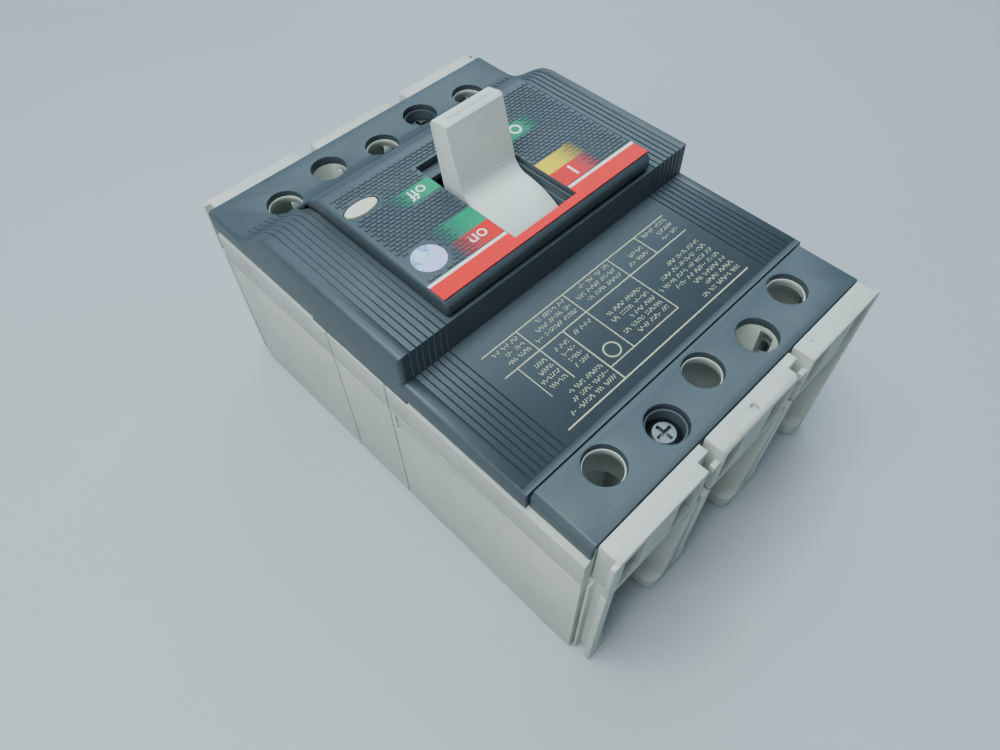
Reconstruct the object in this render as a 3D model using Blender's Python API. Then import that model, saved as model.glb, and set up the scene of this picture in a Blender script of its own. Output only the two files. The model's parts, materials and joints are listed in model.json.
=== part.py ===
# Three-pole moulded-case breaker lying on its back: +Z points out of the front,
# +Y towards the line end, +X to the right of someone who faces it with the line end up.
# The dimensions below are in millimetres and degrees. The meshes are in metres.
import math

import bmesh
import bpy

MM = 0.001
GAP = 0.3                      # air left between pieces that touch

# outer shape
WIDTH = 105.0
LENGTH = 150.0
BODY_LENGTH = 138.0            # between the ends of the long side walls
POLE_PITCH = 35.0
BASE_TOP = 46.3                # joint between the base and the middle case
SIDE_TOP = 58.5                # top of the light side walls
PLATFORM_TOP = 61.7            # middle case under the covers
PLATFORM_HALF = 49.6
PLATE_TOP = 64.5               # flat front of both terminal zones and of the label zone
SHOULDER_TOP = 74.3
ESCUTCHEON_TOP = 79.6
END_COVER_TOP = 64.2
COVER_WALL = 2.4

# front cover, along Y
JOINT_Y = 51.5                 # front cover meets the line terminal cover
STEP_Y = 12.3                  # wall between the label zone and the shoulders
SLOPE_START = -38.5
SLOPE_END = -57.0
COVER_END = -70.6
FLAP_START = -24.4             # the cover's side hangs lower from here to the step
FLAP_DROP = 1.7
SKIRT_RELIEF = 0.5             # cover wall left in front of the toggle's skirt
SCORE_LINES = (-18.9, 4.2)     # grooves down the side walls, along Y
SCORE_HALF = 0.35
SCORE_DEPTH = 0.5

# escutcheon and handle slot
ESCUTCHEON_HALF = 36.3
ESCUTCHEON_FRONT = 11.5
ESCUTCHEON_BACK = -36.5
ESCUTCHEON_TAIL = -49.0
SLOT_HALF = 10.9
SLOT_NEAR = 7.8
SLOT_FAR = -28.3

# holes
TERMINAL_Y = 58.2
ACCESS_R = 5.0
SCREW_X = 17.5
SCREW_Y = 61.3
SCREW_BORE_R = 5.25
MOUNT_HOLE_R = 3.2

# toggle
PIVOT = (-9.8, 52.9)           # Y and Z of its hinge axis
OFF_ANGLE = 12.5
BLADE_HALF = 9.4
BLADE_LENGTH = 45.0
BLADE_ROOT = 3.7               # half thickness
BLADE_TIP = 2.9
SKIRT_R = 24.4
SKIRT_WALL = 1.5
SKIRT_REACH = 46.0
SHIELD_R = 22.3
SHIELD_WALL = 0.8
SHIELD_SPAN = (-13.5, -58.0)   # degrees from the blade

# contact system
BAR = (-4.0, 20.0)             # Y and Z of the crossbar axis
BAR_R = 5.0
HUB_R = 7.6
ARM_OPEN = 28.0
ARM_REACH = 30.0
ARM_HALF = 2.5
STRAP_Z = 15.9                 # middle of the strap under the contact arm
PAD_Y = (21.5, 26.5)           # contact pad on that strap, under the arm's tip
PAD_HALF = 2.5
PAD_RISE = 0.45
CRANK_ANGLE = 60.0
CRANK_R = 9.0
CRANK_PIN_R = 1.1

# mechanism in the centre pole
CRADLE_PIVOT = (6.0, 56.0)
LINK_PIN = (-2.0, 46.0)
KNEE = (-6.7, 36.6)
PIN_R = 1.0
PLATE_IN = 13.7
PLATE_OUT = 15.2
MOUTH = (93.0, 151.0)          # open side of the upper link's seat, where the cradle's pin leaves it

# trip unit
TRIP = (-38.0, 49.5)           # Y and Z of the trip bar axis
TRIP_R = 2.5
BUTTON = (-12.5, -32.0)        # X and Y
BUTTON_R = 2.5
BUTTON_HEAD = 3.8              # stops short of the cover when the button is pressed
BUTTON_AIR = 0.36              # round the button, so that the faceted bore clears it

# poles and terminals
CHAMBER_HALF = 15.5
CHAMBER_Y = 46.0
POCKET_HALF = 13.5
POCKET_START = 51.0
FLOOR = 4.0
POCKET_FLOOR = 5.0
STRAP = 1.6                    # copper strap thickness
LUG_HALF = 8.0
LUG_Z = (17.0, 31.0)

POLES = {"left": -POLE_PITCH, "centre": 0.0, "right": POLE_PITCH}
ENDS = {"line": 1, "load": -1}

FINISH = {
    "light_plastic": ((0.50, 0.52, 0.47), 0.55, 0.0),
    "dark_plastic": ((0.075, 0.09, 0.10), 0.50, 0.0),
    "handle_plastic": ((0.60, 0.63, 0.58), 0.45, 0.0),
    "fibre": ((0.45, 0.30, 0.16), 0.80, 0.0),
    "steel": ((0.55, 0.56, 0.58), 0.35, 1.0),
    "black_steel": ((0.06, 0.06, 0.065), 0.35, 1.0),
    "copper": ((0.72, 0.38, 0.22), 0.35, 1.0),
    "silver_plate": ((0.75, 0.75, 0.72), 0.30, 1.0),
    "red_plastic": ((0.55, 0.04, 0.04), 0.45, 0.0),
}


# ---- mesh helpers -------------------------------------------------------------------------

def material(finish):
    found = bpy.data.materials.get(finish)
    if found:
        return found
    colour, roughness, metallic = FINISH[finish]
    made = bpy.data.materials.new(finish)
    made.use_nodes = True
    shader = made.node_tree.nodes["Principled BSDF"]
    shader.inputs["Base Color"].default_value = (*colour, 1.0)
    shader.inputs["Roughness"].default_value = roughness
    shader.inputs["Metallic"].default_value = metallic
    return made


def prism(bm, outline, axis, low, high):
    """Closed prism: the outline lies across the axis, in the order of the other two axes."""
    def place(point, height):
        first, second = point
        spots = {
            "x": (height, first, second),
            "y": (first, height, second),
            "z": (first, second, height),
        }
        return [c * MM for c in spots[axis]]
    bottom = [bm.verts.new(place(p, low)) for p in outline]
    top = [bm.verts.new(place(p, high)) for p in outline]
    faces = [bm.faces.new(bottom), bm.faces.new(top)]
    count = len(outline)
    for i in range(count):
        j = (i + 1) % count
        faces.append(bm.faces.new((bottom[i], bottom[j], top[j], top[i])))
    bmesh.ops.recalc_face_normals(bm, faces=faces)


def block(bm, x, y, z):
    prism(bm, [(x[0], y[0]), (x[1], y[0]), (x[1], y[1]), (x[0], y[1])], "z", z[0], z[1])


def rod(bm, axis, centre, radius, low, high, sides=24):
    prism(bm, arc(centre, radius, 0, 360 - 360 / sides, sides - 1), axis, low, high)


def arc(centre, radius, start, end, steps):
    """Points on an arc, angles in degrees from the outline's first axis."""
    points = []
    for i in range(steps + 1):
        a = math.radians(start + (end - start) * i / steps)
        points.append((centre[0] + radius * math.cos(a), centre[1] + radius * math.sin(a)))
    return points


def polar(centre, radius, degrees):
    return arc(centre, radius, degrees, degrees, 1)[0]


def strap_outline(route, thickness):
    """Outline of a bent strap that follows the route, with mitred corners."""
    normals = []
    for (y0, z0), (y1, z1) in zip(route, route[1:]):
        length = math.hypot(y1 - y0, z1 - z0)
        normals.append(((z0 - z1) / length, (y1 - y0) / length))
    sides = ([], [])
    for i, (y, z) in enumerate(route):
        before = normals[max(i - 1, 0)]
        after = normals[min(i, len(normals) - 1)]
        ny, nz = before[0] + after[0], before[1] + after[1]
        scale = thickness / (ny * after[0] + nz * after[1]) / 2
        sides[0].append((y + ny * scale, z + nz * scale))
        sides[1].append((y - ny * scale, z - nz * scale))
    return sides[0] + sides[1][::-1]


def finish_mesh(bm, name):
    mesh = bpy.data.meshes.new(name)
    bm.to_mesh(mesh)
    bm.free()
    mesh.shade_smooth()
    mesh.set_sharp_from_angle(angle=math.radians(30))
    return mesh


def piece(name, bm, finish, location=(0, 0, 0), tilt=0.0):
    mesh = finish_mesh(bm, name)
    made = bpy.data.objects.new(name, mesh)
    made.data.materials.append(material(finish))
    made.location = [c * MM for c in location]
    made.rotation_euler = (math.radians(tilt), 0, 0)
    bpy.context.collection.objects.link(made)
    return made


def boolean(target, bm, operation):
    tool = bpy.data.objects.new(f"{target.name}_tool", finish_mesh(bm, "tool"))
    tool.hide_render = True
    tool.display_type = "WIRE"
    tool.location = target.location
    tool.rotation_euler = target.rotation_euler
    bpy.context.collection.objects.link(tool)
    step = target.modifiers.new(operation.lower(), "BOOLEAN")
    step.operation = operation
    step.solver = "EXACT"
    step.object = tool


def cut(target, bm):
    boolean(target, bm, "DIFFERENCE")


def join(target, bm):
    boolean(target, bm, "UNION")


# ---- housing ------------------------------------------------------------------------------

def screw_spots():
    """The two covers' screws and the two mounting holes sit on opposite diagonals."""
    covers = [(SCREW_X, SCREW_Y), (-SCREW_X, -SCREW_Y)]
    mounts = [(-SCREW_X, SCREW_Y), (SCREW_X, -SCREW_Y)]
    return covers, mounts


def base_case():
    half, end, body = WIDTH / 2, LENGTH / 2, BODY_LENGTH / 2
    bm = bmesh.new()
    block(bm, (-half, half), (-end, end), (0, BASE_TOP))
    base = piece("base_case", bm, "light_plastic")

    bm = bmesh.new()
    for centre in POLES.values():
        across = (centre - CHAMBER_HALF, centre + CHAMBER_HALF)
        block(bm, across, (-CHAMBER_Y, CHAMBER_Y), (FLOOR, BASE_TOP + 1))
        across = (centre - POCKET_HALF, centre + POCKET_HALF)
        for side in ENDS.values():
            near, far = sorted((side * POCKET_START, side * (end + 1)))
            block(bm, across, (near, far), (POCKET_FLOOR, BASE_TOP + 1))
    cut(base, bm)

    # openings in the pocket floors, conductor slots, barrier slots and corner grooves
    bm = bmesh.new()
    for centre in POLES.values():
        for side in ENDS.values():
            near, far = sorted((side * 66.0, side * (end + 1)))
            block(bm, (centre - 9, centre + 9), (near, far), (-1, POCKET_FLOOR + 1))
            near, far = sorted((side * (CHAMBER_Y - 1), side * (POCKET_START + 1)))
            block(bm, (centre - 6, centre + 6), (near, far), (FLOOR + 0.2, 18))
    for side in ENDS.values():
        near, far = sorted((side * 71.5, side * (end + 1)))
        for x in (-SCREW_X, SCREW_X):
            block(bm, (x - 0.9, x + 0.9), (near, far), (-1, BASE_TOP + 1))
        for across in (-1, 1):
            inner, outer = sorted((across * 49.3, across * (half + 1)))
            near, far = sorted((side * 70.4, side * 73.5))
            block(bm, (inner, outer), (near, far), (-1, BASE_TOP + 1))
            inner, outer = sorted((across * 50.2, across * (half + 1)))
            near, far = sorted((side * body, side * 69.8))
            block(bm, (inner, outer), (near, far), (-1, BASE_TOP + 1))
    cut(base, bm)

    # corner lips are narrower than the body; round holes; crossbar notches; side score lines
    bm = bmesh.new()
    for side in ENDS.values():
        near, far = sorted((side * (body + 0.5), side * (end + 1)))
        for across in (-1, 1):
            inner, outer = sorted((across * 51.4, across * (half + 1)))
            block(bm, (inner, outer), (near, far), (-1, BASE_TOP + 1))
    covers, mounts = screw_spots()
    for x, y in covers + mounts:
        rod(bm, "z", (x, y), MOUNT_HOLE_R, -1, BASE_TOP + 1)
    for x in (-POLE_PITCH / 2, POLE_PITCH / 2):
        block(bm, (x - 3, x + 3), (BAR[0] - 6, BAR[0] + 6), (BAR[1] - 6, BASE_TOP + 1))
    for across in (-1, 1):
        inner, outer = sorted((across * (half - SCORE_DEPTH), across * (half + 1)))
        for y in SCORE_LINES:
            block(bm, (inner, outer), (y - SCORE_HALF, y + SCORE_HALF), (-1, BASE_TOP + 1))
    cut(base, bm)
    return base


def middle_case():
    half, body = WIDTH / 2, BODY_LENGTH / 2
    bm = bmesh.new()
    right = [(half, BASE_TOP + GAP), (half, SIDE_TOP - 1.5), (half - 1.3, SIDE_TOP)]
    right += [(PLATFORM_HALF, SIDE_TOP), (PLATFORM_HALF, PLATFORM_TOP)]
    outline = right + [(-x, z) for x, z in reversed(right)]
    prism(bm, outline, "y", -body, body)
    case = piece("middle_case", bm, "light_plastic")

    bm = bmesh.new()
    for centre in POLES.values():
        across = (centre - CHAMBER_HALF, centre + CHAMBER_HALF)
        block(bm, across, (-CHAMBER_Y, CHAMBER_Y), (BASE_TOP, PLATFORM_TOP + 1))
        for side in ENDS.values():
            rod(bm, "z", (centre, side * TERMINAL_Y), ACCESS_R, BASE_TOP, PLATFORM_TOP + 1)
    covers, mounts = screw_spots()
    for x, y in covers + mounts:
        rod(bm, "z", (x, y), SCREW_BORE_R, BASE_TOP + 3, PLATFORM_TOP + 1)
    cut(case, bm)

    bm = bmesh.new()
    for x, y in covers + mounts:
        rod(bm, "z", (x, y), MOUNT_HOLE_R, BASE_TOP, BASE_TOP + 4)
    for x in (-POLE_PITCH / 2, POLE_PITCH / 2):
        block(bm, (x - 3, x + 3), (TRIP[0] - 3.4, TRIP[0] + 3.4), (BASE_TOP, TRIP[1] + 3.4))
    for across in (-1, 1):
        inner, outer = sorted((across * (half - SCORE_DEPTH), across * (half + 1)))
        for y in SCORE_LINES:
            block(bm, (inner, outer), (y - SCORE_HALF, y + SCORE_HALF), (BASE_TOP, SIDE_TOP + 1))
    cut(case, bm)

    bm = bmesh.new()
    for across in (-1, 1):
        inner, outer = sorted((across * PLATFORM_HALF, across * (half + 1)))
        block(bm, (inner, outer), (FLAP_START - GAP, STEP_Y + GAP), (SIDE_TOP - FLAP_DROP, SIDE_TOP + 1))
    cut(case, bm)
    return case


def slope_points(offset, steps=6):
    """S-shaped fall of the cover from the shoulders to the load terminal zone."""
    points = []
    for i in range(steps + 1):
        t = i / steps
        fall = (SHOULDER_TOP - PLATE_TOP) * t * t * (3 - 2 * t)
        points.append((SLOPE_START + (SLOPE_END - SLOPE_START) * t, SHOULDER_TOP - fall + offset))
    return points


def front_cover():
    half = WIDTH / 2 - 0.3
    low = SIDE_TOP + GAP
    bm = bmesh.new()
    outline = [(JOINT_Y, low), (JOINT_Y, PLATE_TOP), (STEP_Y, PLATE_TOP), (STEP_Y, SHOULDER_TOP)]
    outline += slope_points(0) + [(COVER_END, PLATE_TOP), (COVER_END, low), (FLAP_START, low)]
    outline += [(FLAP_START, low - FLAP_DROP), (STEP_Y, low - FLAP_DROP), (STEP_Y, low)]
    prism(bm, outline, "x", -half, half)
    cover = piece("front_cover", bm, "dark_plastic")

    bm = bmesh.new()
    inner = PLATFORM_HALF + GAP
    ceiling = PLATFORM_TOP + GAP
    outline = [(JOINT_Y + 1, low - 3), (JOINT_Y + 1, ceiling), (STEP_Y - COVER_WALL, ceiling)]
    outline += [(STEP_Y - COVER_WALL, SHOULDER_TOP - COVER_WALL)] + slope_points(-COVER_WALL)
    outline += [(SLOPE_END - 1, ceiling), (COVER_END - 1, ceiling), (COVER_END - 1, low - 3)]
    prism(bm, outline, "x", -inner, inner)
    cut(cover, bm)

    bm = bmesh.new()
    block(bm, (-SLOT_HALF, SLOT_HALF), (8.0, STEP_Y - SKIRT_RELIEF), (PLATFORM_TOP - 1, SHOULDER_TOP - 2))
    cut(cover, bm)

    # window for the mechanism, and the screw and terminal holes
    bm = bmesh.new()
    block(bm, (-34, 34), (-34, 8.5), (SHOULDER_TOP - 5, SHOULDER_TOP + 1))
    for centre in POLES.values():
        rod(bm, "z", (centre, -TERMINAL_Y), ACCESS_R + 0.1, PLATFORM_TOP - 1, PLATE_TOP + 1)
    for x in (-SCREW_X, SCREW_X):
        rod(bm, "z", (x, -SCREW_Y), SCREW_BORE_R, PLATFORM_TOP - 1, PLATE_TOP + 1)
    cut(cover, bm)
    return cover


def line_terminal_cover():
    half, low = 51.2, SIDE_TOP + GAP
    bm = bmesh.new()
    outline = [(-half, low), (-half, PLATE_TOP - 1.6), (1.2 - half, PLATE_TOP), (half - 1.2, PLATE_TOP),
               (half, PLATE_TOP - 1.6), (half, low)]
    prism(bm, outline, "y", JOINT_Y + GAP, BODY_LENGTH / 2)
    cover = piece("line_terminal_cover", bm, "dark_plastic")
    bm = bmesh.new()
    inner = PLATFORM_HALF + GAP
    block(bm, (-inner, inner), (JOINT_Y, BODY_LENGTH / 2 + 1), (low - 1, PLATFORM_TOP + GAP))
    cut(cover, bm)
    bm = bmesh.new()
    for centre in POLES.values():
        rod(bm, "z", (centre, TERMINAL_Y), ACCESS_R + 0.1, PLATFORM_TOP, PLATE_TOP + 1)
    for x in (-SCREW_X, SCREW_X):
        rod(bm, "z", (x, SCREW_Y), SCREW_BORE_R, PLATFORM_TOP, PLATE_TOP + 1)
    cut(cover, bm)
    return cover


def end_cover(name, centre, side):
    """Light cover over one terminal's end, with two windows. Tabs close the gaps at the line end."""
    low, top = BASE_TOP + 1.0, END_COVER_TOP
    start, end = BODY_LENGTH / 2 + GAP, LENGTH / 2
    if side < 0:
        start = 0.2 - COVER_END
    near, far = sorted((side * start, side * end))
    bm = bmesh.new()
    block(bm, (centre - 14.5, centre + 14.5), (near, far), (low, top))
    cover = piece(name, bm, "light_plastic")
    bm = bmesh.new()
    near, far = sorted((side * (start - 1), side * (end + 1)))
    block(bm, (centre - 12.7, centre - 5), (near, far), (low + 1.5, top - 1.8))
    block(bm, (centre + 6, centre + 12.7), (near, far), (low + 1.5, top - 1.8))
    cut(cover, bm)
    bm = bmesh.new()
    outward = (centre > 0) - (centre < 0)
    if outward:
        lip_near, lip_far = sorted((side * 73.8, side * end))
        inner, outer = sorted((outward * 49.0, outward * 51.3))
        block(bm, (inner, outer), (lip_near, lip_far), (low, top - 0.4))
    if side > 0 and centre >= 0:
        block(bm, (centre - 18.4, centre - 14.2), (start, 71.8), (50, top))
    if bm.verts:
        join(cover, bm)
    else:
        bm.free()
    return cover


def escutcheon():
    top = ESCUTCHEON_TOP
    bm = bmesh.new()
    outline = [(ESCUTCHEON_FRONT, SHOULDER_TOP + GAP), (ESCUTCHEON_FRONT, top - 1.5),
               (ESCUTCHEON_FRONT - 1.5, top), (ESCUTCHEON_BACK, top), (ESCUTCHEON_BACK - 3, top - 1.5)]
    tail = [p for p in slope_points(GAP) if p[0] > ESCUTCHEON_TAIL]
    outline += [(ESCUTCHEON_TAIL, tail[-1][1] - 0.5)] + tail[::-1]
    prism(bm, outline, "x", -ESCUTCHEON_HALF, ESCUTCHEON_HALF)
    plate = piece("escutcheon", bm, "dark_plastic")
    bm = bmesh.new()
    block(bm, (-34, 34), (-35, 9.6), (SHOULDER_TOP - 5, top - 2.0))
    cut(plate, bm)
    bm = bmesh.new()
    block(bm, (-SLOT_HALF, SLOT_HALF), (SLOT_FAR, SLOT_NEAR), (top - 4, top + 1))
    rod(bm, "z", BUTTON, BUTTON_R + BUTTON_AIR, top - 4, top + 1)
    prism(bm, oval(GAP), "z", top - 4, top + 1)
    cut(plate, bm)
    return plate


def oval(grow):
    """Oval of the blanking plug beside the handle slot."""
    points = []
    for i in range(20):
        a = math.radians(18 * i)
        points.append((30.0 + (4.9 + grow) * math.cos(a), -26.7 + (2.3 + grow) * math.sin(a)))
    return points


def blanking_plug():
    bm = bmesh.new()
    prism(bm, oval(0), "z", ESCUTCHEON_TOP - 2.2, ESCUTCHEON_TOP + 0.1)
    return piece("blanking_plug", bm, "handle_plastic")


def cross_screw(name, x, y):
    """Pan-head cross-recess screw down its bore in the middle case."""
    top = PLATFORM_TOP - 1.0
    bm = bmesh.new()
    head = [(0.0, top), (2.8, top), (4.2, top - 1.0), (4.4, top - 2.6)]
    profile = head + [(1.9, top - 2.6), (1.9, 22.0), (0.0, 20.5)]
    spin_profile(bm, profile, 20)
    screw = piece(name, bm, "black_steel", (x, y, 0))
    bm = bmesh.new()
    block(bm, (-2.3, 2.3), (-0.45, 0.45), (top - 1.5, top + 1))
    cut(screw, bm)
    bm = bmesh.new()
    block(bm, (-0.45, 0.45), (-2.3, 2.3), (top - 1.5, top + 1))
    cut(screw, bm)
    return screw


def spin_profile(bm, profile, steps):
    """Closed turned shape: the profile starts and ends on the Z axis."""
    rings = []
    for r, z in profile:
        if r == 0.0:
            rings.append([bm.verts.new((0, 0, z * MM))])
        else:
            circle = arc((0, 0), r, 0, 360 - 360 / steps, steps - 1)
            rings.append([bm.verts.new((x * MM, y * MM, z * MM)) for x, y in circle])
    for above, below in zip(rings, rings[1:]):
        for i in range(steps):
            j = (i + 1) % steps
            corners = [above[i % len(above)], above[j % len(above)]]
            corners += [below[j % len(below)], below[i % len(below)]]
            bm.faces.new(list(dict.fromkeys(corners)))
    bmesh.ops.recalc_face_normals(bm, faces=bm.faces)


# ---- handle and mechanism -----------------------------------------------------------------

def from_up(radius, degrees):
    """Point about the toggle's axis, angle from straight up towards +Y."""
    a = math.radians(degrees)
    return (radius * math.sin(a), radius * math.cos(a))


def sweep(radius, start, end, steps):
    return [from_up(radius, start + (end - start) * i / steps) for i in range(steps + 1)]


def toggle():
    root = math.degrees(math.asin(BLADE_ROOT / SKIRT_R))
    inner = SKIRT_R - SKIRT_WALL
    outline = sweep(SKIRT_R, SKIRT_REACH, root, 12)
    outline += [(BLADE_TIP, BLADE_LENGTH - 0.8), (BLADE_TIP - 0.8, BLADE_LENGTH)]
    outline += [(0.8 - BLADE_TIP, BLADE_LENGTH), (-BLADE_TIP, BLADE_LENGTH - 0.8)]
    outline += sweep(SKIRT_R, -root, -root - 2, 1) + [from_up(inner, -root - 2)]
    outline += [(-3.8, 18.8), (3.8, 18.8)] + sweep(inner, root + 2, SKIRT_REACH, 12)
    bm = bmesh.new()
    prism(bm, outline, "x", -BLADE_HALF, BLADE_HALF)
    return piece("toggle", bm, "handle_plastic", (0, *PIVOT), OFF_ANGLE)


def slot_shield():
    bm = bmesh.new()
    start, end = SHIELD_SPAN
    outline = sweep(SHIELD_R, start, end, 9) + sweep(SHIELD_R - SHIELD_WALL, end, start, 9)
    prism(bm, outline, "x", -BLADE_HALF, BLADE_HALF)
    return piece("slot_shield", bm, "dark_plastic", (0, *PIVOT), OFF_ANGLE)


def handle_arm():
    bm = bmesh.new()
    right = [(11.4, 17), (11.4, -3.5), (12.6, -3.5), (12.6, 18.2)]
    outline = right + [(-x, z) for x, z in reversed(right)]
    prism(bm, outline, "y", -3.5, 3.5)
    arm = piece("handle_arm", bm, "steel", (0, *PIVOT), OFF_ANGLE)
    bm = bmesh.new()
    for side in (-1, 1):
        low, high = sorted((side * 12.0, side * 14.9))
        rod(bm, "x", (0, 0), 1.6, low, high, 16)
    join(arm, bm)
    return arm


def main_spring(name, x):
    turns, per_turn, radius = 7, 8, 1.9
    low, high = -9.5, 16.4
    curve = bpy.data.curves.new(name, "CURVE")
    curve.dimensions = "3D"
    curve.bevel_depth = 0.4 * MM
    curve.bevel_resolution = 1
    curve.use_fill_caps = True
    spline = curve.splines.new("POLY")
    count = turns * per_turn + 1
    spline.points.add(count - 1)
    for i in range(count):
        a = 2 * math.pi * i / per_turn
        z = low + (high - low) * i / (count - 1)
        spline.points[i].co = ((x + radius * math.cos(a)) * MM, radius * math.sin(a) * MM, z * MM, 1)
    curve.materials.append(material("steel"))
    made = bpy.data.objects.new(name, curve)
    made.location = [0, PIVOT[0] * MM, PIVOT[1] * MM]
    made.rotation_euler = (math.radians(OFF_ANGLE), 0, 0)
    bpy.context.collection.objects.link(made)
    return made


def side_plate(name, side):
    low, high = sorted((side * PLATE_IN, side * PLATE_OUT))
    bm = bmesh.new()
    outline = [(-26, 30), (-14, 27), (4, 27), (9.5, 33), (9.5, 59), (-20, 59), (-26, 52)]
    prism(bm, outline, "x", low, high)
    plate = piece(name, bm, "steel")
    bm = bmesh.new()
    rod(bm, "x", PIVOT, 2.0, low - 1, high + 1, 16)
    rod(bm, "x", CRADLE_PIVOT, 1.6, low - 1, high + 1, 16)
    cut(plate, bm)
    return plate


def cradle():
    py, pz = CRADLE_PIVOT
    bm = bmesh.new()
    lug = [(3.5, 2.0), (-6.0, -6.5), (-8.0, -13), (-11, -12), (-10.5, -7.5)]
    latch = [(-28, -5.5), (-31, -2), (-29, -1), (-26.5, -3), (-8, -3.5), (0, 3)]
    prism(bm, lug + latch, "x", -1.4, 1.4)
    lever = piece("cradle", bm, "steel", (0, py, pz))
    bm = bmesh.new()
    rod(bm, "x", (0, 0), 1.2, -14.9, 14.9, 12)
    rod(bm, "x", (LINK_PIN[0] - py, LINK_PIN[1] - pz), PIN_R, -6.0, 6.0, 12)
    join(lever, bm)
    return lever


def link_plates(bm, first, second, low, high, half_width):
    """Two round-ended link plates, mirrored about the middle of the pole."""
    angle = math.degrees(math.atan2(second[1] - first[1], second[0] - first[0]))
    outline = arc(second, half_width, angle - 90, angle + 90, 6)
    outline += arc(first, half_width, angle + 90, angle + 270, 6)
    for side in (-1, 1):
        near, far = sorted((side * low, side * high))
        prism(bm, outline, "x", near, far)


def upper_link():
    """Hangs by an open seat from the cradle's pin, which lifts out of it, and carries the knee pin."""
    knee = (KNEE[0] - LINK_PIN[0], KNEE[1] - LINK_PIN[1])
    bm = bmesh.new()
    rod(bm, "x", knee, PIN_R, -8.0, 8.0, 12)
    link = piece("upper_link", bm, "steel", (0, *LINK_PIN))
    bm = bmesh.new()
    link_plates(bm, (0, 0), knee, 3.8, 5.0, 2.6)
    join(link, bm)
    bm = bmesh.new()
    rod(bm, "x", (0, 0), PIN_R + 0.4, -9, 9, 12)
    cut(link, bm)
    seat = PIN_R + 0.4
    first, last = MOUTH
    lips = [polar((0, 0), seat, first - 90), polar((0, 0), seat, last + 90)]
    outline = [lips[0], polar(lips[0], 6, first), polar(lips[1], 6, last), lips[1]]
    bm = bmesh.new()
    prism(bm, outline, "x", -9, 9)
    cut(link, bm)
    return link


def lower_link():
    """Joins the knee to the crossbar's crank. Its knee holes are wide, as that pivot is the open one."""
    crank = polar(BAR, CRANK_R, CRANK_ANGLE)
    knee = (KNEE[0] - crank[0], KNEE[1] - crank[1])
    bm = bmesh.new()
    middle = (knee[0] * 0.42, knee[1] * 0.42)
    rod(bm, "x", middle, 1.1, -7.0, 7.0, 12)
    link = piece("lower_link", bm, "steel", (0, *crank))
    bm = bmesh.new()
    link_plates(bm, (0, 0), knee, 5.6, 6.8, 3.2)
    join(link, bm)
    bm = bmesh.new()
    for side in (-1, 1):
        low, high = sorted((side * 5.4, side * 7.2))
        rod(bm, "x", (0, 0), CRANK_PIN_R + 0.4, low, high, 12)
        rod(bm, "x", knee, PIN_R + 1.2, low, high, 16)
    cut(link, bm)
    return link


# ---- contacts, arc chutes and conductors --------------------------------------------------

def crossbar():
    """Moulded shaft through all three poles, with the crank that the lower link drives."""
    crank = polar((0, 0), CRANK_R, CRANK_ANGLE)
    bm = bmesh.new()
    rod(bm, "x", (0, 0), BAR_R, -48, 48, 20)
    bar = piece("crossbar", bm, "red_plastic", (0, *BAR))
    bm = bmesh.new()
    for side in (-1, 1):
        low, high = sorted((side * 7.2, side * 9.0))
        outline = arc(crank, 2.4, CRANK_ANGLE - 90, CRANK_ANGLE + 90, 6)
        outline += arc((0, 0), 4.0, CRANK_ANGLE + 90, CRANK_ANGLE + 270, 6)
        prism(bm, outline, "x", low, high)
    join(bar, bm)
    bm = bmesh.new()
    for side in (-1, 1):
        low, high = sorted((side * 5.3, side * 8.0))
        rod(bm, "x", crank, CRANK_PIN_R, low, high, 12)
    join(bar, bm)
    return bar


def contact_arm(name, centre):
    """Copper arm on the crossbar, lifted to its open position."""
    lift = ARM_OPEN
    bm = bmesh.new()
    tip = polar((0, 0), ARM_REACH, lift)
    outline = arc((0, 0), HUB_R, lift + 25, lift + 335, 18)
    outline += [polar(tip, 2.6, lift - 90), polar(tip, 1.8, lift + 90)]
    prism(bm, outline, "x", centre - ARM_HALF, centre + ARM_HALF)
    arm = piece(name, bm, "copper", (0, *BAR))
    bm = bmesh.new()
    rod(bm, "x", (0, 0), BAR_R + GAP, centre - 4, centre + 4, 20)
    cut(arm, bm)
    return arm


def fixed_contact(name, centre):
    """Line conductor: terminal tongue, floor run and the turned-back strap with its pad under the arm."""
    route = [(66.5, 15.0), (53.2, 15.0), (49.5, 6.0), (12.0, 6.0), (12.0, STRAP_Z), (27.5, STRAP_Z)]
    bm = bmesh.new()
    prism(bm, strap_outline(route, STRAP), "x", centre - 4.5, centre + 4.5)
    contact = piece(name, bm, "copper")
    bm = bmesh.new()
    block(bm, (centre - PAD_HALF, centre + PAD_HALF), PAD_Y, (STRAP_Z, STRAP_Z + STRAP / 2 + PAD_RISE))
    join(contact, bm)
    return contact


def arc_chute(name, centre):
    """Stack of deion plates on a common back."""
    plate, pitch, count = 1.2, 3.3, 9
    low = 9.5
    back = CHAMBER_Y - GAP
    spine = back - 1.5
    top = low + pitch * (count - 1) + plate
    outline = [(spine, top), (back, top), (back, low)]
    for i in range(count):
        z = low + pitch * i
        outline += [(28.5, z), (28.5, z + plate)]
        if i < count - 1:
            outline += [(spine, z + plate), (spine, z + pitch)]
    bm = bmesh.new()
    prism(bm, outline, "x", centre - 12.5, centre + 12.5)
    return piece(name, bm, "fibre")


def load_conductor(name, centre):
    """Flexible tail, heater run along the floor and the load terminal tongue."""
    tail = [(-12.5, 13.5), (-15.5, 13.5), (-18.5, 10.0), (-21.0, 6.0)]
    route = tail + [(-44.5, 6.0), (-49.5, 6.0), (-53.2, 15.0), (-66.5, 15.0)]
    bm = bmesh.new()
    prism(bm, strap_outline(route, STRAP), "x", centre - 4.5, centre + 4.5)
    return piece(name, bm, "copper")


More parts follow.
